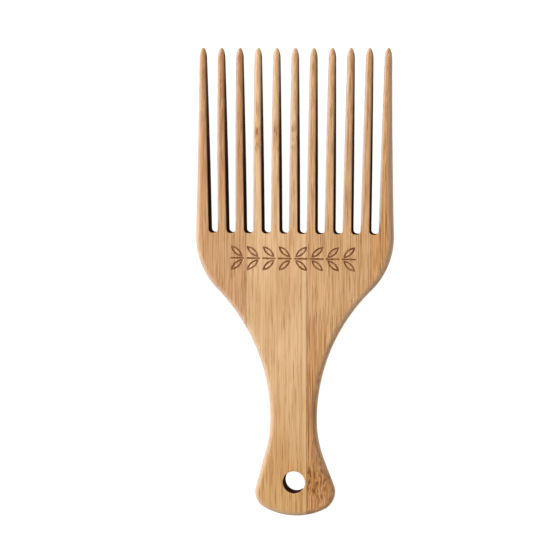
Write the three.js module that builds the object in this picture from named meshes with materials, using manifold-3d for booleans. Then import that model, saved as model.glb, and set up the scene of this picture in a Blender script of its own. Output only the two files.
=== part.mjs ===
// A wide tooth comb (a hair pick) cut from one bamboo board.
//
// The board is four bamboo staves glued edge to edge. The comb's outline, its slots and its
// hanging hole are cut through all of them, so each tooth belongs to the stave it is cut from.
//
// Millimetres. The comb lies flat on its back: X runs across the teeth, Y along them towards
// the tips, and Z up through the thickness. The origin is under the middle of the comb.

import * as THREE from "three";
import { ParametricGeometry } from "three/addons/geometries/ParametricGeometry.js";
import { mergeVertices } from "three/addons/utils/BufferGeometryUtils.js";
import Module from "manifold-3d";

// ---- Driving dimensions ------------------------------------------------------------------

const LENGTH = 190;
const THICKNESS = 8;
const EDGE_ROUND = 2.2; // round-over along the comb's outer edge, on both faces

// The butt end of the handle, and the flare above it
const BUTT_RADIUS = 26.7; // the shallow curve across the end
const BUTT_CORNER_RADIUS = 7.3;
const BUTT_HALF_WIDTH = 16.25;
const BUTT_X = 0.8; // the handle leans slightly to the right

// The waist, where the handle is narrowest
const WAIST_Y = -55.7;
const WAIST_HALF_WIDTH = 9.3;
const WAIST_RADIUS_BELOW = 46;

// The shoulder, where the handle has opened out to the full width of the teeth
const SHOULDER_Y = 19;
const SHOULDER_HALF_WIDTH = 40.25;
const SHOULDER_RADIUS = 30.6;

const HOLE_DIAMETER = 9;
const HOLE_Y = -81;

// The teeth, which fan out slightly and taper in width and in thickness
const TOOTH_COUNT = 11;
const ROOT_PITCH = 7.28;
const TIP_PITCH = 7.53;
const TOOTH_ROOT_WIDTH = 3.58;
const TOOTH_TIP_HALF_WIDTH = 1.45; // where the rounded end begins
const TOOTH_TIP_HALF_THICKNESS = 2;
const TIP_ROUND_LENGTH = 4.6; // the half-ellipse that ends each tooth
const THINNING_Y = 43; // the teeth are as thick as the board up to here
const ROOT_CORNER_RADIUS = 0.25; // edges are nearly sharp at the roots and fully round at the tips

const SLOT_BOTTOM_Y = 20.3;
const SLOT_CORNER_RADIUS = 1.5;

// The staves. Each right edge is where the glue line meets the roots of the teeth.
const STAVE_SLANT = 0.0075; // the staves run slightly askew, further right towards the butt
const STAVES = [
  { name: "left_stave", rightEdge: -19.2, lastTooth: 2, colour: 0xcb996c },
  { name: "centre_left_stave", rightEdge: 5.25, lastTooth: 5, colour: 0xdeb285 },
  { name: "centre_right_stave", rightEdge: 31.3, lastTooth: 9, colour: 0xd2a073 },
  { name: "right_stave", rightEdge: Infinity, lastTooth: 10, colour: 0xcc9662 },
];
const GLUE_GAP = 0.3;
const BAMBOO_ROUGHNESS = 0.55;

// The leaf sprig engraved on the upper face
const SPRIG_Y = 10.2;
const SPRIG_DEPTH = 0.3;
const SPRIG_LINE = 0.6; // the width of the engraved lines
const SPRIG_JOINTS = 8; // stem pieces, with a pair of leaves at the start of each
const STEM_PIECE_LENGTH = 5.6;
const STEM_PIECE_GAP = 0.9;
const LEAF_LENGTH = 6.4;
const LEAF_HALF_WIDTH = 1.2;
const LEAF_ANGLE = THREE.MathUtils.degToRad(42);
const LEAF_OFFSET = 0.55; // clear of the stem

// Fineness of the curves
const OUTLINE_SEGMENTS = 5;
const EDGE_SEGMENTS = 3;
const HOLE_SEGMENTS = 32;
const SHAFT_STATIONS = 8;
const TIP_STATIONS = 5;

// ---- Derived sizes -----------------------------------------------------------------------

const BUTT_Y = -LENGTH / 2;
const TIP_Y = LENGTH / 2;
const MID_Z = THICKNESS / 2;
const TIP_ROUND_Y = TIP_Y - TIP_ROUND_LENGTH;
const SLOT_WIDTH = ROOT_PITCH - TOOTH_ROOT_WIDTH;
const ROOT_Y = SLOT_BOTTOM_Y + SLOT_CORNER_RADIUS; // the teeth stand free above here
const ROOT_OVERLAP = 2; // how far each tooth is let into the board before it is joined to it
const CUT_MARGIN = 1; // how far a cutting tool passes the face it cuts
const MIDDLE_TOOTH = (TOOTH_COUNT - 1) / 2;
const OUTER_TIP_X = MIDDLE_TOOTH * TIP_PITCH + TOOTH_TIP_HALF_WIDTH;

// ---- Solids ------------------------------------------------------------------------------

const wasm = await Module();
wasm.setup();

/** A closed three.js geometry as a solid that can be cut and joined. */
function solidOf(geometry) {
  const bare = geometry.clone();
  bare.deleteAttribute("normal");
  bare.deleteAttribute("uv");
  const merged = mergeVertices(bare);
  const corners = merged.index.array;
  const triangles = [];
  for (let i = 0; i < corners.length; i += 3) {
    const [a, b, c] = [corners[i], corners[i + 1], corners[i + 2]];
    if (a !== b && b !== c && c !== a) {
      triangles.push(a, b, c);
    }
  }
  return new wasm.Manifold(
    new wasm.Mesh({
      numProp: 3,
      vertProperties: new Float32Array(merged.getAttribute("position").array),
      triVerts: new Uint32Array(triangles),
    }),
  );
}

function geometryOf(solid) {
  const mesh = solid.getMesh();
  const geometry = new THREE.BufferGeometry();
  geometry.setAttribute("position", new THREE.BufferAttribute(mesh.vertProperties, 3));
  geometry.setIndex(new THREE.BufferAttribute(mesh.triVerts, 1));
  geometry.computeVertexNormals();
  return geometry;
}

/** A box given by its lowest and highest corners. */
function boxBetween(low, high) {
  const size = new THREE.Vector3().subVectors(high, low);
  const middle = new THREE.Vector3().addVectors(low, high).multiplyScalar(0.5);
  const box = new THREE.BoxGeometry(size.x, size.y, size.z);
  box.translate(middle.x, middle.y, middle.z);
  return solidOf(box);
}

/** A flat shape as a straight prism from one height to another. */
function prism(shape, bottom, top) {
  const geometry = new THREE.ExtrudeGeometry(shape, {
    depth: top - bottom,
    bevelEnabled: false,
    curveSegments: OUTLINE_SEGMENTS,
  });
  geometry.translate(0, 0, bottom);
  return geometry;
}

// ---- The board ---------------------------------------------------------------------------

/** The comb's outer side above the shoulder, which leans in slightly towards the tips. */
function outerSideX(y) {
  const along = THREE.MathUtils.clamp((TIP_ROUND_Y - y) / (TIP_ROUND_Y - SHOULDER_Y), 0, 1);
  return OUTER_TIP_X + (SHOULDER_HALF_WIDTH - OUTER_TIP_X) * along * along;
}

/**
 * The arcs of one side from the butt to the shoulder, each tangent to the next, drawn as if it
 * were the right-hand side. The butt's centre is buttX towards this side from the middle.
 */
function sideArcs(buttX) {
  const buttCentreY = BUTT_Y + BUTT_RADIUS;
  const toCorner = BUTT_RADIUS - BUTT_CORNER_RADIUS;
  const cornerInset = BUTT_HALF_WIDTH - BUTT_CORNER_RADIUS;
  const buttHalfAngle = Math.asin(cornerInset / toCorner);
  const cornerX = buttX + cornerInset;
  const cornerY = buttCentreY - toCorner * Math.cos(buttHalfAngle);

  // The straight flare touches the butt's corner and the arc below the waist
  const belowX = WAIST_HALF_WIDTH + WAIST_RADIUS_BELOW;
  const apart = Math.hypot(belowX - cornerX, WAIST_Y - cornerY);
  const flareAngle =
    Math.atan2(WAIST_Y - cornerY, belowX - cornerX) -
    Math.acos((BUTT_CORNER_RADIUS + WAIST_RADIUS_BELOW) / apart);

  // The arc above the waist is as large as it takes to touch the shoulder's
  const shoulderX = SHOULDER_HALF_WIDTH - SHOULDER_RADIUS;
  const rise = SHOULDER_Y - WAIST_Y;
  const inset = WAIST_HALF_WIDTH - shoulderX;
  const aboveRadius =
    (inset ** 2 + rise ** 2 - SHOULDER_RADIUS ** 2) / (2 * (SHOULDER_RADIUS - inset));
  const aboveX = WAIST_HALF_WIDTH + aboveRadius;
  const shoulderAngle = Math.atan2(rise, aboveX - shoulderX);

  return [
    {
      x: buttX,
      y: buttCentreY,
      radius: BUTT_RADIUS,
      from: -Math.PI / 2,
      to: buttHalfAngle - Math.PI / 2,
    },
    {
      x: cornerX,
      y: cornerY,
      radius: BUTT_CORNER_RADIUS,
      from: buttHalfAngle - Math.PI / 2,
      to: flareAngle,
    },
    {
      x: belowX,
      y: WAIST_Y,
      radius: WAIST_RADIUS_BELOW,
      from: Math.PI + flareAngle,
      to: Math.PI,
    },
    { x: aboveX, y: WAIST_Y, radius: aboveRadius, from: Math.PI, to: Math.PI - shoulderAngle },
    { x: shoulderX, y: SHOULDER_Y, radius: SHOULDER_RADIUS, from: -shoulderAngle, to: 0 },
  ];
}

/** The outline of the handle and the shoulders, running on past the roots of the teeth. */
function boardOutline() {
  const shape = new THREE.Shape();
  const top = ROOT_Y + CUT_MARGIN + EDGE_ROUND;
  for (const arc of sideArcs(BUTT_X)) {
    shape.absarc(arc.x, arc.y, arc.radius, arc.from, arc.to, arc.to < arc.from);
  }
  shape.lineTo(outerSideX(top), top);
  shape.lineTo(-outerSideX(top), top);
  for (const arc of sideArcs(-BUTT_X).reverse()) {
    const start = Math.PI - arc.to;
    const end = Math.PI - arc.from;
    shape.absarc(-arc.x, arc.y, arc.radius, start, end, end < start);
  }
  return shape;
}

/** The blank for the handle and shoulders, with its outer edges rounded over. */
function roundedBlank() {
  const geometry = new THREE.ExtrudeGeometry(boardOutline(), {
    depth: THICKNESS - 2 * EDGE_ROUND,
    bevelEnabled: true,
    bevelThickness: EDGE_ROUND,
    bevelSize: EDGE_ROUND,
    bevelOffset: -EDGE_ROUND,
    bevelSegments: EDGE_SEGMENTS,
    curveSegments: OUTLINE_SEGMENTS,
  });
  geometry.translate(0, 0, EDGE_ROUND);
  return solidOf(geometry);
}

/** The bottom of the slot on the right of a tooth, up to where the teeth stand free. */
function slotBottom(tooth) {
  const centre = (tooth + 0.5 - MIDDLE_TOOTH) * ROOT_PITCH;
  const left = centre - SLOT_WIDTH / 2;
  const right = centre + SLOT_WIDTH / 2;
  const r = SLOT_CORNER_RADIUS;
  const shape = new THREE.Shape();
  shape.moveTo(left, ROOT_Y + CUT_MARGIN);
  shape.absarc(left + r, ROOT_Y, r, Math.PI, 1.5 * Math.PI, false);
  shape.absarc(right - r, ROOT_Y, r, 1.5 * Math.PI, 2 * Math.PI, false);
  shape.lineTo(right, ROOT_Y + CUT_MARGIN);
  return solidOf(prism(shape, -CUT_MARGIN, THICKNESS + CUT_MARGIN));
}

function hangingHole() {
  const radius = HOLE_DIAMETER / 2;
  const height = THICKNESS + 2 * CUT_MARGIN;
  const cylinder = new THREE.CylinderGeometry(radius, radius, height, HOLE_SEGMENTS);
  cylinder.rotateX(Math.PI / 2);
  cylinder.translate(BUTT_X, HOLE_Y, MID_Z);
  return solidOf(cylinder);
}

// ---- The engraved sprig ------------------------------------------------------------------

/** The line round a pointed leaf along +X from the origin, whose sides are two arcs. */
function leafShape() {
  const half = LEAF_LENGTH / 2;
  const radius = (half ** 2 + LEAF_HALF_WIDTH ** 2) / (2 * LEAF_HALF_WIDTH);
  const drop = radius - LEAF_HALF_WIDTH;
  const addSides = (path, sideRadius) => {
    const sweep = Math.acos(drop / sideRadius);
    path.absarc(half, drop, sideRadius, -Math.PI / 2 - sweep, -Math.PI / 2 + sweep, false);
    path.absarc(half, -drop, sideRadius, Math.PI / 2 - sweep, Math.PI / 2 + sweep, false);
    return path;
  };
  const shape = addSides(new THREE.Shape(), radius);
  shape.holes.push(addSides(new THREE.Path(), radius - SPRIG_LINE));
  return shape;
}

/** One joint's length of the stem, a bar with round ends along +X from the origin. */
function stemShape() {
  const r = SPRIG_LINE / 2;
  const shape = new THREE.Shape();
  shape.absarc(r, 0, r, Math.PI / 2, 1.5 * Math.PI, false);
  shape.absarc(STEM_PIECE_LENGTH - r, 0, r, -Math.PI / 2, Math.PI / 2, false);
  return shape;
}

/** The pockets of the sprig: a jointed stem, whose leaf pairs point away from the middle. */
function sprigPockets() {
  const floor = THICKNESS - SPRIG_DEPTH;
  const pockets = [];
  const place = (shape, x, y, angle, mirror) => {
    const geometry = prism(shape, floor, THICKNESS + CUT_MARGIN);
    geometry.rotateZ(angle);
    geometry.translate(x, y, 0);
    if (mirror) {
      geometry.rotateY(Math.PI);
      geometry.translate(0, 0, floor + THICKNESS + CUT_MARGIN);
    }
    pockets.push(solidOf(geometry));
  };
  const step = STEM_PIECE_LENGTH + STEM_PIECE_GAP;
  for (let joint = 0; joint < SPRIG_JOINTS / 2; joint += 1) {
    const x = joint * step + STEM_PIECE_GAP / 2;
    for (const mirror of [false, true]) {
      place(stemShape(), x, SPRIG_Y, 0, mirror);
      for (const side of [1, -1]) {
        place(leafShape(), x + SPRIG_LINE, SPRIG_Y + side * LEAF_OFFSET, side * LEAF_ANGLE, mirror);
      }
    }
  }
  return pockets;
}

// ---- The teeth ---------------------------------------------------------------------------

/** How far along the free length of the teeth a height is, from 0 at the root to 1. */
function alongShaft(y, start) {
  return THREE.MathUtils.clamp((y - start) / (TIP_ROUND_Y - start), 0, 1);
}

/** A tooth's section at a height: its sides, half thickness and the radii of its corners. */
function toothSection(tooth, y) {
  const place = tooth - MIDDLE_TOOTH;
  const shaft = alongShaft(y, ROOT_Y);
  const thinning = alongShaft(y, THINNING_Y);
  const intoTip = Math.max(0, y - TIP_ROUND_Y) / TIP_ROUND_LENGTH;
  const narrowing = Math.sqrt(Math.max(0, 1 - intoTip ** 2));

  const centre = THREE.MathUtils.lerp(place * ROOT_PITCH, place * TIP_PITCH, shaft);
  const halfWidth = THREE.MathUtils.lerp(TOOTH_ROOT_WIDTH / 2, TOOTH_TIP_HALF_WIDTH, shaft);
  const isOuter = Math.abs(place) === MIDDLE_TOOTH;
  const outerX = Math.sign(place) * outerSideX(y);
  let left = isOuter && place < 0 ? outerX : centre - halfWidth;
  let right = isOuter && place > 0 ? outerX : centre + halfWidth;
  const middle = (left + right) / 2;
  left = middle + (left - middle) * narrowing;
  right = middle + (right - middle) * narrowing;

  const taper = MID_Z - TOOTH_TIP_HALF_THICKNESS;
  const halfThickness = (MID_Z - taper * thinning ** 1.5) * narrowing;
  const most = Math.min((right - left) / 2, halfThickness);
  const corner = THREE.MathUtils.lerp(ROOT_CORNER_RADIUS, TOOTH_TIP_HALF_WIDTH, shaft);
  const inner = Math.min(corner, most);
  const outer = Math.min(EDGE_ROUND, most);
  return {
    left,
    right,
    halfThickness,
    leftRadius: isOuter && place < 0 ? outer : inner,
    rightRadius: isOuter && place > 0 ? outer : inner,
  };
}

/** The heights of a tooth's sections, closer together round the tip. */
function toothStations() {
  const stations = [ROOT_Y - ROOT_OVERLAP];
  for (let i = 0; i <= SHAFT_STATIONS; i += 1) {
    stations.push(THREE.MathUtils.lerp(ROOT_Y, TIP_ROUND_Y, i / SHAFT_STATIONS));
  }
  for (let i = 1; i < TIP_STATIONS; i += 1) {
    const angle = ((Math.PI / 2) * i) / TIP_STATIONS;
    stations.push(TIP_ROUND_Y + TIP_ROUND_LENGTH * Math.sin(angle));
  }
  return stations;
}

/** A tooth as one skin through its sections, drawn to a point in the middle of both ends. */
function toothSolid(tooth) {
  const stations = toothStations();
  const perCorner = EDGE_SEGMENTS + 1;
  const around = 4 * perCorner;
  const rows = stations.length + 1;

  const skin = (u, v, point) => {
    const row = Math.round(v * rows);
    const isEnd = row === 0 || row === rows;
    const y = row === rows ? TIP_Y : stations[Math.max(0, row - 1)];
    const section = toothSection(tooth, y);
    if (isEnd) {
      point.set((section.left + section.right) / 2, y, MID_Z);
      return;
    }
    const step = Math.round((1 - u) * around) % around;
    const corner = Math.floor(step / perCorner);
    const angle = (Math.PI / 2) * (corner + (step % perCorner) / EDGE_SEGMENTS);
    const isRight = corner === 0 || corner === 3;
    const isUpper = corner < 2;
    const radius = isRight ? section.rightRadius : section.leftRadius;
    const centreX = isRight ? section.right - radius : section.left + radius;
    const centreZ = MID_Z + (isUpper ? 1 : -1) * (section.halfThickness - radius);
    point.set(centreX + radius * Math.cos(angle), y, centreZ + radius * Math.sin(angle));
  };
  return solidOf(new ParametricGeometry(skin, around, rows));
}

// ---- The comb ----------------------------------------------------------------------------

/** The board with its slots started, its hole cut and its sprig engraved, before the teeth. */
function cutBoard() {
  const wide = SHOULDER_HALF_WIDTH + CUT_MARGIN;
  const aboveRoots = boxBetween(
    new THREE.Vector3(-wide, ROOT_Y, -CUT_MARGIN),
    new THREE.Vector3(wide, TIP_Y, THICKNESS + CUT_MARGIN),
  );
  let board = roundedBlank().subtract(aboveRoots).subtract(hangingHole());
  for (let tooth = 0; tooth < TOOTH_COUNT - 1; tooth += 1) {
    board = board.subtract(slotBottom(tooth));
  }
  for (const pocket of sprigPockets()) {
    board = board.subtract(pocket);
  }
  return board;
}

/** The strip of the board between two glue lines. */
function staveStrip(leftEdge, rightEdge) {
  const wide = SHOULDER_HALF_WIDTH + CUT_MARGIN;
  const bottom = BUTT_Y - CUT_MARGIN;
  const top = ROOT_Y + CUT_MARGIN;
  const cornerX = (edge, y) =>
    THREE.MathUtils.clamp(edge - STAVE_SLANT * (y - ROOT_Y), -wide, wide);
  const shape = new THREE.Shape();
  shape.moveTo(cornerX(leftEdge, bottom), bottom);
  shape.lineTo(cornerX(rightEdge, bottom), bottom);
  shape.lineTo(cornerX(rightEdge, top), top);
  shape.lineTo(cornerX(leftEdge, top), top);
  return solidOf(prism(shape, -CUT_MARGIN, THICKNESS + CUT_MARGIN));
}

function buildComb() {
  const comb = new THREE.Group();
  const board = cutBoard();
  let leftEdge = -Infinity;
  let firstTooth = 0;
  for (const { name, rightEdge, lastTooth, colour } of STAVES) {
    let stave = board.intersect(staveStrip(leftEdge + GLUE_GAP / 2, rightEdge - GLUE_GAP / 2));
    for (let tooth = firstTooth; tooth <= lastTooth; tooth += 1) {
      stave = stave.add(toothSolid(tooth));
    }
    const material = new THREE.MeshStandardMaterial({
      color: colour,
      roughness: BAMBOO_ROUGHNESS,
      metalness: 0,
    });
    const mesh = new THREE.Mesh(geometryOf(stave), material);
    mesh.name = name;
    comb.add(mesh);
    leftEdge = rightEdge;
    firstTooth = lastTooth + 1;
  }
  return comb;
}

export default buildComb();
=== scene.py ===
"""A bamboo wide tooth comb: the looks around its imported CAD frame.

Each of the four glued staves gets one fine closed mesh, made by meshing the comb's own form, and
a procedural bamboo material. Forms are worked out in millimetres and turned into metres once.
"""

import math

import bpy
import numpy as np
from mathutils import Matrix, Vector


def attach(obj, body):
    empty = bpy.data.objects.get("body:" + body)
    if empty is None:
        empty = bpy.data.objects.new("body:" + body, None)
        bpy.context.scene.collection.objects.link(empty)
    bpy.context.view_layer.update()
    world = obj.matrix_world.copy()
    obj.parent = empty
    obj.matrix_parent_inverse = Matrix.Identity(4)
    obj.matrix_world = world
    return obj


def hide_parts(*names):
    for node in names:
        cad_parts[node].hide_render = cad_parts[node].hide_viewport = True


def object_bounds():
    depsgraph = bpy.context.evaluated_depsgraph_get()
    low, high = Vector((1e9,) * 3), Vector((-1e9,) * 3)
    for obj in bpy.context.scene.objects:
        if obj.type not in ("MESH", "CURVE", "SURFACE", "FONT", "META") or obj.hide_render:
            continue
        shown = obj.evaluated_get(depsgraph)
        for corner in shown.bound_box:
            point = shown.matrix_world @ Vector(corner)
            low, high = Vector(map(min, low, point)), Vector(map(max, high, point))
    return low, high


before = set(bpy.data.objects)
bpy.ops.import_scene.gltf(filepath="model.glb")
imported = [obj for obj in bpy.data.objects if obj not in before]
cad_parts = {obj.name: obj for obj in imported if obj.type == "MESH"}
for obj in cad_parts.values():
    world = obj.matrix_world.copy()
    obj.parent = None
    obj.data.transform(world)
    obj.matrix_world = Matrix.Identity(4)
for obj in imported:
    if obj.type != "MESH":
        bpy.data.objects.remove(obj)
cad_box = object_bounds()

MM = 0.001

# ---- Sizes from the frame, in millimetres ------------------------------------------------

BOARD_LOW = [c / MM for c in cad_box[0]]
BOARD_HIGH = [c / MM for c in cad_box[1]]
THICKNESS = BOARD_HIGH[2]
MID_Z = THICKNESS / 2
BUTT_Y = BOARD_LOW[1]
TIP_Y = BOARD_HIGH[1]
SHOULDER_HALF_WIDTH = BOARD_HIGH[0]

# ---- The comb's form, in millimetres, as in the CAD model --------------------------------

EDGE_ROUND = 2.2
BUTT_RADIUS = 26.7
BUTT_CORNER_RADIUS = 7.3
BUTT_HALF_WIDTH = 16.25
BUTT_X = 0.8
WAIST_Y = -55.7
WAIST_HALF_WIDTH = 9.3
WAIST_RADIUS_BELOW = 46.0
SHOULDER_Y = 19.0
SHOULDER_RADIUS = 30.6
HOLE_RADIUS = 4.5
HOLE_Y = -81.0

MIDDLE_TOOTH = 5
ROOT_PITCH = 7.28
TIP_PITCH = 7.53
TOOTH_ROOT_HALF_WIDTH = 1.79
TOOTH_TIP_HALF_WIDTH = 1.45
TOOTH_TIP_HALF_THICKNESS = 2.0
TIP_ROUND_LENGTH = 4.6
THINNING_Y = 43.0
THINNING_POWER = 1.5  # how late the teeth's thinning comes
ROOT_CORNER_RADIUS = 0.25
SLOT_BOTTOM_Y = 20.3
SLOT_CORNER_RADIUS = 1.5

SPRIG_Y = 10.2
SPRIG_DEPTH = 0.3
SPRIG_LINE = 0.6
SPRIG_JOINTS_EACH_SIDE = 4
STEM_PIECE_LENGTH = 5.6
STEM_PIECE_GAP = 0.9
LEAF_LENGTH = 6.4
LEAF_HALF_WIDTH = 1.2
LEAF_ANGLE = math.radians(42)
LEAF_OFFSET = 0.55
SPRIG_WALL = (0.06, -0.1)  # out of its lines, where its walls start and where they end
SPRIG_BURN = (0.08, -0.04)  # and where its brown starts and is full
SPRIG_BURN_DEPTH = (0.6, 0.4)  # below the face, where the brown starts and is full

GLUE_LINES = (-19.2, 5.25, 31.3)  # where they meet the roots of the teeth
STAVE_SLANT = 0.0075
GLUE_WIDTH = 0.04  # what is left open between two staves

ROOT_Y = SLOT_BOTTOM_Y + SLOT_CORNER_RADIUS
TIP_ROUND_Y = TIP_Y - TIP_ROUND_LENGTH
SLOT_HALF_WIDTH = ROOT_PITCH / 2 - TOOTH_ROOT_HALF_WIDTH
OUTER_TIP_X = MIDDLE_TOOTH * TIP_PITCH + TOOTH_TIP_HALF_WIDTH
FAR = 50.0  # a distance that counts as nowhere near

# ---- Where the wood is charred, and where its edges are worn and painted with sheen, in millimetres but for shares ---

CHAR_START = 0.6  # how far down a rounded edge the char starts, in radii
CHAR_FADE = 0.1  # how far the char fades either way of its edge
CUT_CHAR = (0.2, 0.05)  # out of a cut, where its char starts and is full
TOOTH_CHAR = (-0.5, -0.3)  # the same, out of a tooth's side
TIP_CHAR = (0.9, 0.2)  # the same along a tooth's rounded tip, in lengths of it
# The pale tint of the rounded edges is partly wear and partly painted sheen: painted highlight
# on the sides that face the light on the left, painted reflection on the shaded right sides.
INNER_WEAR_AND_SHEEN_REACH = 1.1  # how far the wear and painted highlight of the teeth's inner edges reaches
INNER_WEAR_AND_SHEEN_RISE = 5.0  # how far above the roots it is full
INNER_WEAR_AND_SHEEN_RIGHT = 0.35  # how pale the right ones are, where the left ones are 1: painted highlight, as the light falls from the left
OUTER_WEAR_AND_SHEEN = 0.625  # and how pale the comb's outer edges are, from wear and painted sheen


def lerp(a, b, t):
    return a + (b - a) * t


def smooth_step(low, high, value):
    t = np.clip((value - low) / (high - low), 0, 1)
    return t * t * (3 - 2 * t)


def outer_side_x(y):
    """The comb's outer side above the shoulder, which leans in towards the tips."""
    along = np.clip((TIP_ROUND_Y - y) / (TIP_ROUND_Y - SHOULDER_Y), 0, 1)
    return OUTER_TIP_X + (SHOULDER_HALF_WIDTH - OUTER_TIP_X) * along * along


def both_inside(a, b, radius):
    """Where two solids overlap, with the edge between their faces rounded to a radius."""
    da, db = a + radius, b + radius
    outside = np.hypot(np.maximum(da, 0), np.maximum(db, 0))
    return outside + np.minimum(np.maximum(da, db), 0) - radius


def on_round(a, b, radius):
    """How far into a rounded edge a place is: 0 on the faces, 1 half way round."""
    return np.clip(2 * np.maximum(a + radius, 0) * np.maximum(b + radius, 0) / radius**2, 0, 1)


class Side:
    """One side of the handle and shoulder, from above, drawn as the right-hand side."""

    def __init__(self, butt_x):
        butt_centre_y = BUTT_Y + BUTT_RADIUS
        to_corner = BUTT_RADIUS - BUTT_CORNER_RADIUS
        corner_inset = BUTT_HALF_WIDTH - BUTT_CORNER_RADIUS
        butt_angle = math.asin(corner_inset / to_corner)
        corner_x = butt_x + corner_inset
        corner_y = butt_centre_y - to_corner * math.cos(butt_angle)
        below_x = WAIST_HALF_WIDTH + WAIST_RADIUS_BELOW
        apart = math.hypot(below_x - corner_x, WAIST_Y - corner_y)
        flare = math.atan2(WAIST_Y - corner_y, below_x - corner_x)
        flare -= math.acos((BUTT_CORNER_RADIUS + WAIST_RADIUS_BELOW) / apart)

        shoulder_x = SHOULDER_HALF_WIDTH - SHOULDER_RADIUS
        rise = SHOULDER_Y - WAIST_Y
        inset = WAIST_HALF_WIDTH - shoulder_x
        above_radius = inset**2 + rise**2 - SHOULDER_RADIUS**2
        above_radius /= 2 * (SHOULDER_RADIUS - inset)
        above_x = WAIST_HALF_WIDTH + above_radius
        turn = math.atan2(rise, above_x - shoulder_x)

        down = -math.pi / 2
        past_middle = 0.1  # the butt's arc reaches over to the other side's
        self.bulges = [
            (butt_x, butt_centre_y, BUTT_RADIUS, down - past_middle, down + butt_angle),
            (corner_x, corner_y, BUTT_CORNER_RADIUS, down + butt_angle, flare),
            (shoulder_x, SHOULDER_Y, SHOULDER_RADIUS, -turn, 0),
        ]
        self.hollows = [
            (below_x, WAIST_Y, WAIST_RADIUS_BELOW, math.pi, math.pi + flare),
            (above_x, WAIST_Y, above_radius, math.pi - turn, math.pi),
        ]
        self.normal = (math.cos(flare), math.sin(flare))
        self.foot = (
            corner_x + BUTT_CORNER_RADIUS * self.normal[0],
            corner_y + BUTT_CORNER_RADIUS * self.normal[1],
        )
        reach = BUTT_CORNER_RADIUS + WAIST_RADIUS_BELOW
        self.flare_length = math.sqrt(apart**2 - reach**2)

    def distance(self, x, y):
        nearest = np.full(np.broadcast(x, y).shape, -FAR)

        def offer(distance, applies):
            closer = applies & (np.abs(distance) < np.abs(nearest))
            nearest[closer] = distance[closer]

        for arcs, sign in ((self.bulges, 1), (self.hollows, -1)):
            for cx, cy, radius, start, end in arcs:
                dx, dy = x - cx, y - cy
                angle = np.arctan2(dy, dx)
                if end > math.pi:
                    angle = np.where(angle < 0, angle + 2 * math.pi, angle)
                distance = sign * (np.hypot(dx, dy) - radius)
                offer(distance, (angle >= start) & (angle <= end))
        dx, dy = x - self.foot[0], y - self.foot[1]
        along = dy * self.normal[0] - dx * self.normal[1]
        flat = dx * self.normal[0] + dy * self.normal[1]
        offer(flat, (along >= 0) & (along <= self.flare_length))
        offer(x - outer_side_x(y), y >= SHOULDER_Y)
        return nearest


RIGHT_SIDE = Side(BUTT_X)
LEFT_SIDE = Side(-BUTT_X)


def outline_distance(x, y):
    """The distance out of the handle and shoulders, seen from above."""
    return np.where(x < 0, LEFT_SIDE.distance(-x, y), RIGHT_SIDE.distance(x, y))


def cut_distance(x, y):
    """The distance out of the nearest slot bottom or the hole, seen from above."""
    slot = np.clip(np.round(x / ROOT_PITCH - 0.5), -MIDDLE_TOOTH, MIDDLE_TOOTH - 1)
    across = np.abs(x - (slot + 0.5) * ROOT_PITCH) - SLOT_HALF_WIDTH
    slots = both_inside(across, SLOT_BOTTOM_Y - y, SLOT_CORNER_RADIUS)
    hole = np.hypot(x - BUTT_X, y - HOLE_Y) - HOLE_RADIUS
    return np.minimum(slots, hole)


def between_faces(half_thickness, radius, z):
    """From 0 on the faces and the top of their rounded edges, to 1 on the wall between."""
    below = half_thickness - radius * CHAR_START - np.abs(z - MID_Z)
    return smooth_step(-CHAR_FADE, CHAR_FADE, below)


def sprig_distance(x, y):
    """The distance out of the lines of the engraved sprig, seen from above."""
    x = np.abs(x)
    y = np.abs(y - SPRIG_Y)
    half = LEAF_LENGTH / 2
    leaf_radius = (half**2 + LEAF_HALF_WIDTH**2) / (2 * LEAF_HALF_WIDTH)
    drop = leaf_radius - LEAF_HALF_WIDTH
    half_line = SPRIG_LINE / 2
    nearest = np.full(np.broadcast(x, y).shape, FAR)
    for joint in range(SPRIG_JOINTS_EACH_SIDE):
        start = joint * (STEM_PIECE_LENGTH + STEM_PIECE_GAP) + STEM_PIECE_GAP / 2
        along = np.clip(x, start + half_line, start + STEM_PIECE_LENGTH - half_line)
        nearest = np.minimum(nearest, np.hypot(x - along, y) - half_line)
        dx = x - start - SPRIG_LINE
        dy = y - LEAF_OFFSET
        u = dx * math.cos(LEAF_ANGLE) + dy * math.sin(LEAF_ANGLE) - half
        v = np.abs(dy * math.cos(LEAF_ANGLE) - dx * math.sin(LEAF_ANGLE))
        leaf = np.hypot(u, v + drop) - leaf_radius
        nearest = np.minimum(nearest, np.abs(leaf + half_line) - half_line)
    return nearest


def board_form(x, y, z):
    """The handle and shoulders: distance, char on the cut walls, engraving, and edge wear with
    painted sheen.
    """
    sprig = sprig_distance(x, y)
    depth = SPRIG_DEPTH * smooth_step(*SPRIG_WALL, sprig)
    faces = np.maximum(z - THICKNESS + depth, -z)
    side = outline_distance(x, y)
    cut = cut_distance(x, y)
    outer = both_inside(side, faces, EDGE_ROUND)
    distance = np.maximum(outer, both_inside(-cut, faces, ROOT_CORNER_RADIUS))
    char = smooth_step(*CUT_CHAR, cut) * between_faces(MID_Z, ROOT_CORNER_RADIUS, z)
    burn_start, burn_full = (THICKNESS - below for below in SPRIG_BURN_DEPTH)
    engraved = smooth_step(*SPRIG_BURN, sprig) * smooth_step(burn_start, burn_full, z)
    # Pale tint on the rounded outer edges: wear and painted sheen.
    wear_and_sheen = OUTER_WEAR_AND_SHEEN * on_round(side, faces, EDGE_ROUND)
    return distance, char, engraved, wear_and_sheen


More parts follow.
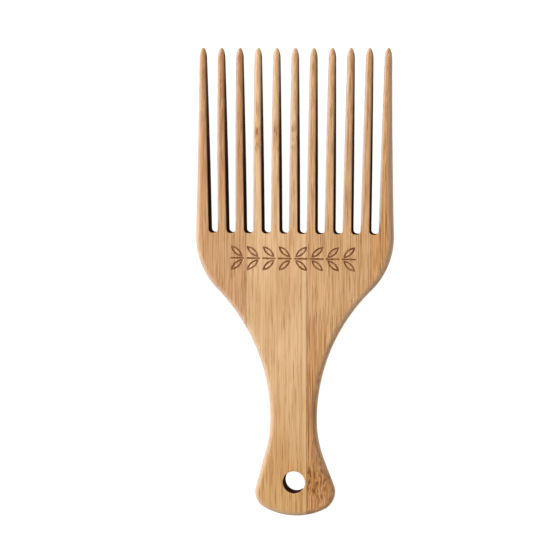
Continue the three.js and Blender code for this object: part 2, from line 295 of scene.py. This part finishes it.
def teeth_form(x, y, z):
    """The free length of the teeth, as board_form gives it, and which tooth is nearest."""
    shaft = np.clip((y - ROOT_Y) / (TIP_ROUND_Y - ROOT_Y), 0, 1)
    pitch = lerp(ROOT_PITCH, TIP_PITCH, shaft)
    place = np.clip(np.round(x / pitch), -MIDDLE_TOOTH, MIDDLE_TOOTH)
    half_width = lerp(TOOTH_ROOT_HALF_WIDTH, TOOTH_TIP_HALF_WIDTH, shaft)
    left = place * pitch - half_width
    right = place * pitch + half_width
    left = np.where(place == -MIDDLE_TOOTH, -outer_side_x(y), left)
    right = np.where(place == MIDDLE_TOOTH, outer_side_x(y), right)

    into_tip = np.maximum(y - TIP_ROUND_Y, 0) / TIP_ROUND_LENGTH
    narrowing = np.sqrt(np.maximum(1 - into_tip**2, 0))
    middle = (left + right) / 2
    half = (right - left) / 2 * narrowing
    thinning = np.clip((y - THINNING_Y) / (TIP_ROUND_Y - THINNING_Y), 0, 1)
    thinned = (MID_Z - TOOTH_TIP_HALF_THICKNESS) * thinning**THINNING_POWER
    half_thickness = (MID_Z - thinned) * narrowing
    most = np.minimum(half, half_thickness)
    inner = np.minimum(lerp(ROOT_CORNER_RADIUS, TOOTH_TIP_HALF_WIDTH, shaft), most)
    outer = np.minimum(EDGE_ROUND, most)
    is_outer = np.abs(place) == MIDDLE_TOOTH
    on_outer = is_outer & (x * place > middle * place)
    radius = np.maximum(np.where(on_outer, outer, inner), 1e-3)
    across = np.abs(x - middle) - half
    through = np.abs(z - MID_Z) - half_thickness
    distance = both_inside(across, through, radius)
    char = between_faces(half_thickness, radius, z) * smooth_step(*TOOTH_CHAR, across)
    char = np.where(on_outer, 0, char * smooth_step(*TIP_CHAR, into_tip))
    # The inner edges of the teeth get a pale tint, partly wear and partly painted highlight; the
    # right ones get less, as they face away from the light.
    above_root = smooth_step(0, INNER_WEAR_AND_SHEEN_RISE, y - ROOT_Y)
    inner_wear_and_sheen = above_root * on_round(across, through, INNER_WEAR_AND_SHEEN_REACH)
    inner_wear_and_sheen = inner_wear_and_sheen * np.where(x > middle, INNER_WEAR_AND_SHEEN_RIGHT, 1)
    wear_and_sheen = np.where(on_outer, OUTER_WEAR_AND_SHEEN * on_round(across, through, radius), inner_wear_and_sheen)
    return (distance, char, np.zeros_like(char), wear_and_sheen), place


def unslanted(across, y):
    """The X of a place that is so far across the slanted staves."""
    return across - STAVE_SLANT * (y - ROOT_Y)


def stave_form(low, high):
    """One stave's form by how far across the staves a place is: its strip and whole teeth."""

    def form(across, y, z):
        x = unslanted(across, y)
        board = board_form(x, y, z)
        strip = np.maximum(board[0], np.maximum(low - across, across - high))
        teeth, place = teeth_form(x, y, z)
        root = place * ROOT_PITCH
        own_teeth = np.where((root > low) & (root < high), teeth[0], FAR)
        above = y >= ROOT_Y
        values = [np.where(above, own_teeth, strip)]
        for tooth_value, board_value in zip(teeth[1:], board[1:], strict=True):
            values.append(np.where(above, tooth_value, board_value))
        return values

    return form


# ---- Meshing -----------------------------------------------------------------------------

FACE_HUG = 0.03  # grid planes this close to a sawn face keep its edges crisp
BEYOND = 0.3  # how far the grid passes the comb
LEAN_ROOM = 1.2  # how far a tooth may lean over its stave's glue line
STEP_ACROSS = 0.235
MARGIN = 0.5  # how far the fine stretches of the grid pass what they are fine for
HALVINGS = 12  # how often a crossed grid edge is halved to find the surface
SETTLING_STEPS = 3  # how often a point moves towards the surface
LONGEST_SETTLING_STEP = 0.08
FULLY_CHARRED = 0.97  # a face whose points all have more char than this is charred


def spaced(low, high, step):
    """Even steps that fit a stretch, without its high end."""
    return np.linspace(low, high, max(1, round((high - low) / step)), endpoint=False)


def grid_y():
    """Grid planes along the comb, close together where the form turns quickly."""
    hole_low = HOLE_Y - HOLE_RADIUS - MARGIN
    hole_high = HOLE_Y + HOLE_RADIUS + MARGIN
    sprig_reach = LEAF_OFFSET + LEAF_LENGTH * math.sin(LEAF_ANGLE) + MARGIN
    stretches = [
        (BUTT_Y - BEYOND, BUTT_Y + 5, 0.3),
        (BUTT_Y + 5, hole_low, 0.5),
        (hole_low, hole_high, 0.25),
        (hole_high, SPRIG_Y - sprig_reach, 0.6),
        (SPRIG_Y - sprig_reach, SPRIG_Y + sprig_reach, 0.17),
        (SPRIG_Y + sprig_reach, SLOT_BOTTOM_Y - MARGIN, 0.5),
        (SLOT_BOTTOM_Y - MARGIN, ROOT_Y + 0.4, 0.18),
        (ROOT_Y + 0.4, TIP_ROUND_Y, 0.6),
        (TIP_ROUND_Y, TIP_Y - 1.5, 0.4),
        (TIP_Y - 1.5, TIP_Y + BEYOND, 0.12),
    ]
    return np.concatenate([spaced(*stretch) for stretch in stretches] + [[TIP_Y + BEYOND]])


def grid_z():
    """Grid planes through the thickness, close together near both faces."""
    near_face = [-FACE_HUG, FACE_HUG, 0.12, 0.28, 0.5, 0.8, 1.2, 1.7]
    half = np.concatenate([near_face, np.linspace(EDGE_ROUND, MID_Z, 5)])
    return np.concatenate([[-BEYOND], half, THICKNESS - half[-2::-1], [THICKNESS + BEYOND]])


def grid_across(low, high):
    """Grid planes across a stave, with a pair that hugs each of its sawn sides."""
    before = spaced(low - LEAN_ROOM, low - FACE_HUG, STEP_ACROSS)
    inside = spaced(low + FACE_HUG, high - FACE_HUG, STEP_ACROSS)
    after = spaced(high + FACE_HUG, high + LEAN_ROOM, STEP_ACROSS)
    hugging = [low - FACE_HUG, high - FACE_HUG]
    return np.sort(np.concatenate([before, inside, after, hugging]))


def inside_grid(form, planes):
    """Which grid points are inside the form, worked out slab by slab to spare memory."""
    gx, gy, gz = np.meshgrid(*planes, indexing="ij")
    inside = np.empty(gx.shape, bool)
    slab = 16
    for start in range(0, len(gx), slab):
        rows = slice(start, start + slab)
        inside[rows] = form(gx[rows], gy[rows], gz[rows])[0] < 0
    return inside


def crossed_edges(inside, axis):
    """The grid edges along an axis that the surface crosses, and which start inside."""
    low_side = [slice(None)] * 3
    high_side = [slice(None)] * 3
    low_side[axis] = slice(None, -1)
    high_side[axis] = slice(1, None)
    starts = inside[tuple(low_side)]
    crossed = starts != inside[tuple(high_side)]
    return np.argwhere(crossed), starts[crossed]


def crossing_points(form, planes, at, axis, starts_inside):
    """Where the surface crosses each grid edge, by halving the edge."""
    a = np.stack([planes[k][at[:, k]] for k in range(3)], axis=1)
    b = a.copy()
    b[:, axis] = planes[axis][at[:, axis] + 1]
    for _ in range(HALVINGS):
        middle = (a + b) / 2
        same = (form(*middle.T)[0] < 0) == starts_inside
        a = np.where(same[:, None], middle, a)
        b = np.where(same[:, None], b, middle)
    return (a + b) / 2


def cells_around(at, axis):
    """The four cells that share each grid edge, in order round it."""
    first, second = [k for k in range(3) if k != axis]
    ring = []
    for back_first, back_second in ((0, 0), (1, 0), (1, 1), (0, 1)):
        cell = at.copy()
        cell[:, first] -= back_first
        cell[:, second] -= back_second
        ring.append(tuple(cell.T))
    return ring


def gradient(form, points, step=0.01):
    """The form's slope along each axis, in millimetres per millimetre."""
    slope = np.empty_like(points)
    for axis in range(3):
        offset = np.zeros(3)
        offset[axis] = step
        ahead = form(*(points + offset).T)[0]
        behind = form(*(points - offset).T)[0]
        slope[:, axis] = (ahead - behind) / (2 * step)
    return slope


def settled(form, points):
    """The points moved onto the surface, by a few short steps down the slope of the form."""
    for _ in range(SETTLING_STEPS):
        value = form(*points.T)[0]
        slope = gradient(form, points)
        steepness = np.maximum(np.sum(slope**2, axis=1), 0.25)
        move = -value[:, None] * slope / steepness[:, None]
        length = np.linalg.norm(move, axis=1, keepdims=True)
        points = points + move * np.minimum(1, LONGEST_SETTLING_STEP / np.maximum(length, 1e-9))
    return points


def surface_net(form, planes):
    """A closed surface of quads, with a point in each grid cell that the surface passes."""
    inside = inside_grid(form, planes)
    cells = tuple(n - 1 for n in inside.shape)
    totals = np.zeros((*cells, 3))
    counts = np.zeros(cells)
    faces = []
    for axis in range(3):
        at, starts_inside = crossed_edges(inside, axis)
        point = crossing_points(form, planes, at, axis, starts_inside)
        ring = cells_around(at, axis)
        for cell in ring:
            np.add.at(totals, cell, point)
            np.add.at(counts, cell, 1)
        faces.append((ring, starts_inside if axis == 1 else ~starts_inside))

    used = counts > 0
    number = np.full(cells, -1)
    number[used] = np.arange(used.sum())
    quads = []
    for ring, turned in faces:
        quad = np.stack([number[cell] for cell in ring], axis=1)
        quad[turned] = quad[turned][:, ::-1]
        quads.append(quad)
    points = totals[used] / counts[used][:, None]
    return settled(form, points), np.concatenate(quads)


def stave_mesh(name, low, high):
    """One stave, with its char, engraving, and edge wear with painted sheen as attributes of its
    points.

    Its fully charred faces have the second material.
    """
    form = stave_form(low, high)
    planes = (grid_across(low, high), grid_y(), grid_z())
    points, quads = surface_net(form, planes)
    _, char, engraved, wear_and_sheen = form(*points.T)
    points[:, 0] = unslanted(points[:, 0], points[:, 1])
    mesh = bpy.data.meshes.new(name)
    mesh.from_pydata((points * MM).tolist(), [], quads.tolist())
    for label, values in (("char", char), ("engraved", engraved), ("wear_and_sheen", wear_and_sheen)):
        layer = mesh.attributes.new(label, "FLOAT", "POINT")
        layer.data.foreach_set("value", values.astype(np.float32))
    charred = char[quads].min(axis=1) > FULLY_CHARRED
    mesh.polygons.foreach_set("material_index", charred.astype(np.int32))
    mesh.shade_smooth()
    return mesh


# ---- Materials ---------------------------------------------------------------------------


def socket_named(sockets, identifier):
    return next(s for s in sockets if s.identifier == identifier)


class Nodes:
    """Short names for building a shader from code."""

    def __init__(self, name):
        self.material = bpy.data.materials.new(name)
        self.material.use_nodes = True
        self.tree = self.material.node_tree
        self.shader = self.tree.nodes["Principled BSDF"]

    def node(self, kind, inputs=None, **settings):
        node = self.tree.nodes.new(kind)
        for key, value in settings.items():
            setattr(node, key, value)
        for key, value in (inputs or {}).items():
            self.set(node.inputs[key], value)
        return node

    def set(self, socket, value):
        if isinstance(value, bpy.types.NodeSocket):
            self.tree.links.new(value, socket)
        else:
            socket.default_value = value

    def math(self, operation, a, b=0.0):
        return self.node("ShaderNodeMath", {0: a, 1: b}, operation=operation).outputs[0]

    def vector(self, operation, a, b):
        return self.node("ShaderNodeVectorMath", {0: a, 1: b}, operation=operation).outputs[0]

    def attribute(self, name):
        return self.node("ShaderNodeAttribute", attribute_name=name).outputs["Fac"]

    def object_place(self):
        """The place in the object's own space, in millimetres."""
        position = self.node("ShaderNodeTexCoord").outputs["Object"]
        return self.vector("MULTIPLY", position, (1 / MM,) * 3)

    def parts(self, point):
        return self.node("ShaderNodeSeparateXYZ", {0: point}).outputs

    def streaks(self, point, across, along, detail=2.0):
        """Noise drawn out along Y, by how often it changes across and along, per millimetre."""
        scaled = self.vector("MULTIPLY", point, (across, along, across))
        inputs = {"Vector": scaled, "Scale": 1.0, "Detail": detail}
        return self.node("ShaderNodeTexNoise", inputs).outputs["Fac"]

    def dashes(self, point, across, along):
        """Cells drawn out along Y: the distance from each one's middle, and its own number."""
        scaled = self.vector("MULTIPLY", point, (across, along, across))
        cells = self.node("ShaderNodeTexVoronoi", {"Vector": scaled, "Scale": 1.0})
        own = self.node("ShaderNodeSeparateColor", {0: cells.outputs["Color"]}).outputs[0]
        return cells.outputs["Distance"], own

    def ramp(self, value, low, high, to_low=0.0, to_high=1.0):
        inputs = {0: value, 1: low, 2: high, 3: to_low, 4: to_high}
        node = self.node("ShaderNodeMapRange", inputs, interpolation_type="SMOOTHSTEP")
        return node.outputs[0]

    def off_middle(self, noise, amount):
        """Noise as a push either way from nothing."""
        return self.math("MULTIPLY", self.math("SUBTRACT", noise, 0.5), amount)

    def total(self, *values):
        result = values[0]
        for value in values[1:]:
            result = self.math("ADD", result, value)
        return result

    def mix(self, factor, a, b, blend="MIX"):
        node = self.node("ShaderNodeMix", data_type="RGBA", blend_type=blend)
        for identifier, value in (("Factor_Float", factor), ("A_Color", a), ("B_Color", b)):
            self.set(socket_named(node.inputs, identifier), value)
        return socket_named(node.outputs, "Result_Color")

    def colours(self, value, stops):
        """A colour from a scale of (place, colour) stops."""
        node = self.node("ShaderNodeValToRGB", {0: value})
        scale = node.color_ramp.elements
        for element, (place, colour) in ((scale[0], stops[0]), (scale[-1], stops[-1])):
            element.position = place
            element.color = colour
        for place, colour in stops[1:-1]:
            scale.new(place).color = colour
        return node.outputs[0]

    def finish(self, colour, roughness, specular, height):
        """Joins the looks to the shader, with a height that is a shallow relief."""
        relief = {"Strength": RELIEF_STRENGTH, "Distance": RELIEF_DEPTH, "Height": height}
        bump = self.node("ShaderNodeBump", relief)
        self.set(self.shader.inputs["Base Color"], colour)
        self.set(self.shader.inputs["Roughness"], roughness)
        self.set(self.shader.inputs["Specular IOR Level"], specular)
        self.set(self.shader.inputs["Normal"], bump.outputs[0])


LIGHT_LEVEL = 1.15  # how bright the studio light makes a white surface that faces up
BAMBOO_SPECULAR = 0.15
RELIEF_STRENGTH = 0.4
RELIEF_DEPTH = 0.00006  # in metres, as the bump node takes it
SINGED_FROM, SINGED_TO = 35.0, 95.0  # the walls' char lightens between these Y
PLAIN_TONE = 0.66  # the tone of bamboo that no layer of fibres pushes
SEED_OFFSET = (37.0, 11.0, 5.0)  # how far apart the noise of two staves is taken from

# How much of each mark's colour shows where the mark is at its strongest
STRIP_SHARE = 0.6
BESIDE_STRIP_SHARE = 0.35
GLUE_SHARE = 0.25
ORANGE_SHARE = 0.3
STREAK_SHARE = 0.55
STAIN_SHARE = 0.7
SCAR_SHARE = 0.85
WEAR_AND_SHEEN_SHARE = 0.8


def seen(red, green, blue):
    """The colour that looks like this screen colour, from 0 to 255, in the studio light."""

    def linear(c):
        c /= 255
        return c / 12.92 if c <= 0.04045 else ((c + 0.055) / 1.055) ** 2.4

    return tuple(linear(c) / LIGHT_LEVEL for c in (red, green, blue)) + (1.0,)


CHAR_BLACK = (0.04, 0.017, 0.009, 1.0)
CHAR_BROWN = (0.085, 0.036, 0.018, 1.0)
SINGED_BROWN = (0.14, 0.075, 0.048, 1.0)
ENGRAVED_BROWN = seen(136, 81, 46)
STAIN_BROWN = seen(200, 134, 72)
SCAR_BROWN = seen(126, 66, 28)
STREAK_BROWN = seen(150, 96, 56)
ORANGE = seen(214, 150, 94)
# the pale colour of wear and painted sheen on the rounded edges
WEAR_AND_SHEEN_PALE = seen(226, 194, 168)


def charred_bamboo():
    """The scorched walls that the cutting leaves in the slots and the hole."""
    n = Nodes("charred_bamboo")
    place = n.object_place()
    y = n.parts(place)[1]
    scorch = n.streaks(place, 1.5, 0.3)
    colour = n.mix(n.ramp(scorch, 0.4, 0.7), CHAR_BLACK, CHAR_BROWN)
    colour = n.mix(n.ramp(y, SINGED_FROM, SINGED_TO), colour, SINGED_BROWN)
    n.finish(colour, n.ramp(scorch, 0.3, 0.7, 0.85, 0.98), 0.0, scorch)
    return n.material


def knot_nearness(n, y, wander, knots):
    """From 0 in clear bamboo to each knot's strength, where the culm's knot was planed away."""
    nearness = 0.0
    for knot_y, half_length, strength in knots:
        away = n.math("DIVIDE", n.math("SUBTRACT", y, knot_y), half_length)
        away = n.math("ADD", n.math("ABSOLUTE", away), wander)
        nearness = n.math("MAXIMUM", nearness, n.ramp(away, 1.2, 0.4, 0.0, strength))
    return nearness


def edge_lines(n, colour, across, low, high, strip_width, light, dark):
    """The thin dark glue lines down a stave's sides, and a pale strip beside its right one."""
    to_low = n.math("SUBTRACT", across, low)
    to_high = n.math("SUBTRACT", high, across)
    if strip_width:
        strip = n.ramp(to_high, strip_width, strip_width - 0.3)
        colour = n.mix(n.math("MULTIPLY", strip, STRIP_SHARE), colour, light)
        off_line = n.math("ABSOLUTE", n.math("SUBTRACT", to_high, strip_width + 0.3))
        beside = n.ramp(off_line, 0.4, 0.1)
        colour = n.mix(n.math("MULTIPLY", beside, BESIDE_STRIP_SHARE), colour, dark)
    glue = n.ramp(n.math("MINIMUM", to_low, to_high), 0.35, 0.1)
    return n.mix(n.math("MULTIPLY", glue, GLUE_SHARE), colour, dark)


def fibre_space(n, place, y, knots):
    """The place in a space in which the fibres run straight, and how near a knot it is.

    Seen from the stave they drift a little, and waver near a knot.
    """
    wander = n.off_middle(n.streaks(place, 0.35, 0.1), 1.6)
    knot = knot_nearness(n, y, wander, knots)
    drift = n.off_middle(n.streaks(place, 0.1, 0.015, detail=1.0), 1.6)
    waver = n.off_middle(n.streaks(place, 0.45, 0.25), 3.2)
    shift = n.math("ADD", drift, n.math("MULTIPLY", waver, knot))
    warp = n.node("ShaderNodeCombineXYZ", {0: shift}).outputs[0]
    return n.vector("ADD", place, warp), knot


def fibre_layers(n, fibres, grain):
    """How the fibres push the tone, and the layers that the looks' other parts share.

    The layers go from broad bands to single fibres, then to dark bundles and flecks.
    """
    broad = n.streaks(fibres, 0.16, 0.008, detail=1.0)
    lines = n.streaks(fibres, 1.15, 0.022, detail=1.0)
    hair = n.streaks(fibres, 2.7, 0.05, detail=1.0)
    fine = n.streaks(fibres, 5.0, 0.12)
    distance, own = n.dashes(fibres, 1.4, 0.08)
    bundle = n.math("MULTIPLY", n.ramp(distance, 0.38, 0.24), n.ramp(own, 0.2, 0.7))
    distance, own = n.dashes(fibres, 2.6, 0.25)
    fleck = n.math("MULTIPLY", n.ramp(distance, 0.45, 0.2), n.ramp(own, 0.5, 0.9))
    push = n.total(
        n.off_middle(broad, 0.5 * grain),
        n.off_middle(lines, 0.4 * grain),
        n.off_middle(n.ramp(hair, 0.4, 0.6), 0.8 * grain),
        n.off_middle(fine, 1.0 * grain),
        n.math("MULTIPLY", bundle, -0.75 * grain),
        n.math("MULTIPLY", fleck, -0.35 * grain),
    )
    return push, lines, fine, bundle


def dark_streak(n, colour, across, y, place, lines, streak):
    """A dark streak down the handle, whose middle is so far across the staves."""
    centre, half_width, start_y, end_y = streak
    middle = n.math("ADD", n.math("SUBTRACT", across, centre), n.off_middle(lines, 1.2))
    shown = n.ramp(n.math("ABSOLUTE", middle), half_width, half_width * 0.3)
    shown = n.math("MULTIPLY", shown, n.ramp(y, start_y, end_y))
    shown = n.math("MULTIPLY", shown, n.ramp(n.streaks(place, 0.2, 0.12), 0.35, 0.6))
    return n.mix(n.math("MULTIPLY", shown, STREAK_SHARE), colour, STREAK_BROWN)


def knot_marks(n, colour, fibres, knot):
    """The stain and the short dark scars of the knots, and where the scars are."""
    stain = n.math("MULTIPLY", n.ramp(n.streaks(fibres, 0.7, 0.16), 0.35, 0.6), knot)
    colour = n.mix(n.math("MULTIPLY", stain, STAIN_SHARE), colour, STAIN_BROWN)
    distance, own = n.dashes(fibres, 1.2, 0.3)
    scar = n.math("MULTIPLY", n.ramp(distance, 0.55, 0.3), n.ramp(own, 0.15, 0.55))
    scar = n.math("MULTIPLY", scar, knot)
    return n.mix(n.math("MULTIPLY", scar, SCAR_SHARE), colour, SCAR_BROWN), scar


def bamboo(name, low, high, seed, look):
    """Sanded bamboo: fibre bundles along the stave, tone bands, glue lines, and knot scars."""
    n = Nodes(name)
    light, mid, dark = look["tones"]
    tail = look["tail"]
    x, y, z = n.parts(n.object_place())
    slant = n.math("MULTIPLY", n.math("SUBTRACT", y, ROOT_Y), STAVE_SLANT)
    across = n.math("ADD", x, slant)
    place = n.node("ShaderNodeCombineXYZ", {0: across, 1: y, 2: z}).outputs[0]
    place = n.vector("ADD", place, tuple(seed * step for step in SEED_OFFSET))
    fibres, knot = fibre_space(n, place, y, look["knots"])

    push, lines, fine, bundle = fibre_layers(n, fibres, look["grain"])
    if tail:
        ends = (tail["from_y"], tail["to_y"])
        push = n.math("MULTIPLY", push, n.ramp(y, *ends, 1.0, tail["grain"]))
    tone = n.math("ADD", push, PLAIN_TONE)
    colour = n.colours(tone, [(0.0, dark), (0.5, mid), (1.0, light)])
    patch = n.streaks(place, 0.07, 0.03)
    colour = n.mix(n.ramp(patch, 0.45, 0.7, 0.0, ORANGE_SHARE), colour, ORANGE)
    colour = edge_lines(n, colour, across, low, high, look["strip_width"], light, dark)
    if tail:
        colour = n.mix(n.ramp(y, *ends), colour, tail["tint"], "MULTIPLY")
    for from_low, *streak in look["streaks"]:
        colour = dark_streak(n, colour, across, y, place, lines, (low + from_low, *streak))
    colour, scar = knot_marks(n, colour, fibres, knot)

    char = n.attribute("char")
    wear_and_sheen = n.attribute("wear_and_sheen")
    if tail:
        wear_and_sheen = n.math("MULTIPLY", wear_and_sheen, n.ramp(y, *ends, 1.0, tail["wear_and_sheen_scale"]))
    # Pale edges: partly wear, partly painted sheen, a highlight on the lit left edges and a
    # reflection on the shaded right ones.
    colour = n.mix(n.math("MULTIPLY", wear_and_sheen, WEAR_AND_SHEEN_SHARE), colour, WEAR_AND_SHEEN_PALE)
    burn = n.ramp(n.streaks(place, 0.5, 0.3), 0.35, 0.65, 0.75, 1.0)
    colour = n.mix(n.math("MULTIPLY", n.attribute("engraved"), burn), colour, ENGRAVED_BROWN)
    colour = n.mix(char, colour, CHAR_BLACK)
    rough = n.total(
        n.ramp(lines, 0.3, 0.7, 0.5, 0.62),
        n.math("MULTIPLY", char, 0.3),
        n.math("MULTIPLY", wear_and_sheen, -0.06),
    )
    height = n.total(
        n.off_middle(lines, 0.8),
        n.off_middle(fine, 0.5),
        n.math("MULTIPLY", bundle, -0.4),
        n.math("MULTIPLY", scar, -0.5),
    )
    n.finish(colour, rough, BAMBOO_SPECULAR, height)
    return n.material


# ---- The staves --------------------------------------------------------------------------

# tones: light, middle and dark. grain: how strongly the fibres show.
# knots: the Y of each, its half length and its strength.
# strip_width: the pale strip beside the stave's right side.
# tail: a change of tint, grain, and the edges' wear and painted sheen that comes in between two
# Y.
# streaks: how far each is from the left side, its half width, and the two Y it comes in between.
STAVES = [
    {
        "node": "left_stave",
        "slot": "bamboo_left",
        "tones": (seen(231, 183, 133), seen(211, 158, 109), seen(166, 113, 68)),
        "grain": 0.66,
        "knots": [],
        "strip_width": 0,
        "tail": {
            "from_y": 25.0,
            "to_y": 55.0,
            "tint": (0.89, 0.81, 0.73, 1.0),
            "grain": 1.0,
            "wear_and_sheen_scale": 0.85,
        },
        "streaks": [],
    },
    {
        "node": "centre_left_stave",
        "slot": "bamboo_centre_left",
        "tones": (seen(249, 207, 157), seen(231, 185, 133), seen(193, 143, 94)),
        "grain": 0.58,
        "knots": [(59.0, 6.5, 0.7)],
        "strip_width": 1.7,
        "tail": {
            "from_y": -15.0,
            "to_y": -88.0,
            "tint": (0.87, 0.78, 0.61, 1.0),
            "grain": 1.2,
            "wear_and_sheen_scale": 1.0,
        },
        "streaks": [],
    },
    {
        "node": "centre_right_stave",
        "slot": "bamboo_centre_right",
        "tones": (seen(237, 188, 135), seen(217, 166, 113), seen(174, 122, 73)),
        "grain": 0.72,
        "knots": [(-80.0, 8.5, 1.0)],
        "strip_width": 0.5,
        "tail": {
            "from_y": 0.0,
            "to_y": -60.0,
            "tint": (0.93, 0.85, 0.74, 1.0),
            "grain": 2.6,
            "wear_and_sheen_scale": 0.3,
        },
        "streaks": [(0.9, 0.6, -20.0, -45.0), (3.1, 0.8, -35.0, -50.0)],
    },
    {
        "node": "right_stave",
        "slot": "bamboo_right",
        "tones": (seen(230, 177, 116), seen(207, 149, 91), seen(168, 111, 61)),
        "grain": 1.05,
        "knots": [],
        "strip_width": 0,
        "tail": None,
        "streaks": [],
    },
]
CLEAR_OF_SIDES = 2.0  # how far the outer staves' strips pass the comb's sides


def make_staves():
    charred = charred_bamboo()
    edges = [BOARD_LOW[0] - CLEAR_OF_SIDES, *GLUE_LINES, BOARD_HIGH[0] + CLEAR_OF_SIDES]
    for index, stave in enumerate(STAVES):
        low = edges[index] + GLUE_WIDTH / 2
        high = edges[index + 1] - GLUE_WIDTH / 2
        name = stave["node"] + "_bamboo"
        piece = bpy.data.objects.new(name, stave_mesh(name, low, high))
        bpy.context.scene.collection.objects.link(piece)
        piece.data.materials.append(bamboo(name, low, high, index + 1, stave))
        piece.data.materials.append(charred)
        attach(piece, "root")
        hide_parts(stave["node"])


# ---- Floor, light and camera -------------------------------------------------------------


FLOOR_SIZE = 8.0
FLOOR_DROP = 0.0002  # how far the floor is below the comb, so that the two never flicker
FLOOR_GREY = 0.1
WORLD_STRENGTH = 0.15


def make_floor():
    """A pale light table, which stays white between the teeth."""
    bpy.ops.mesh.primitive_plane_add(size=FLOOR_SIZE, location=(0, 0, -FLOOR_DROP))
    floor = bpy.context.object
    floor.name = "floor"
    n = Nodes("floor")
    n.set(n.shader.inputs["Base Color"], (FLOOR_GREY, FLOOR_GREY, FLOOR_GREY, 1))
    n.set(n.shader.inputs["Roughness"], 1.0)
    n.set(n.shader.inputs["Emission Color"], (1, 1, 1, 1))
    n.set(n.shader.inputs["Emission Strength"], 1.0)
    floor.data.materials.append(n.material)


def make_light(name, place, size, power, colour=(1, 1, 1)):
    """A round soft light that faces the comb."""
    data = bpy.data.lights.new(name, "AREA")
    data.color = colour
    data.shape = "DISK"
    data.size = size
    data.energy = power
    light = bpy.data.objects.new(name, data)
    light.location = place
    light.rotation_euler = Vector(place).to_track_quat("Z", "Y").to_euler()
    bpy.context.scene.collection.objects.link(light)


def make_lights():
    make_light("key", (-0.75, 0.5, 1.05), 0.8, 17.5)
    make_light("rim", (-1.25, 0.1, 0.18), 0.5, 8.5, (0.8, 0.95, 1.35))
    make_light("fill", (0.6, -0.3, 1.4), 1.2, 4.5)
    world = bpy.data.worlds.new("studio")
    world.use_nodes = True
    background = world.node_tree.nodes["Background"]
    background.inputs["Color"].default_value = (1, 1, 1, 1)
    background.inputs["Strength"].default_value = WORLD_STRENGTH
    bpy.context.scene.world = world


CAMERA_PLACE = (0.126, 0.072, 0.868)
CAMERA_TARGET = (-0.0071, 0.0033, 0.008)
CAMERA_ROLL = 0.0042
FRAME_WIDTH = 0.22275  # what the frame spans at the comb
SENSOR_WIDTH = 36.0


def make_camera():
    data = bpy.data.cameras.new("camera")
    place, target = Vector(CAMERA_PLACE), Vector(CAMERA_TARGET)
    data.sensor_width = SENSOR_WIDTH
    data.lens = SENSOR_WIDTH * (place - target).length / FRAME_WIDTH
    data.clip_start = 0.01
    back = (place - target).normalized()
    level = Vector((0, 1, 0)).cross(back).normalized()
    right = level * math.cos(CAMERA_ROLL) + back.cross(level) * math.sin(CAMERA_ROLL)
    turn = Matrix((right, back.cross(right), back)).transposed().to_4x4()
    camera = bpy.data.objects.new("camera", data)
    camera.matrix_world = Matrix.Translation(place) @ turn
    bpy.context.scene.collection.objects.link(camera)
    bpy.context.scene.camera = camera


make_camera()
make_staves()
make_floor()
make_lights()
bpy.context.scene.view_settings.view_transform = "Standard"
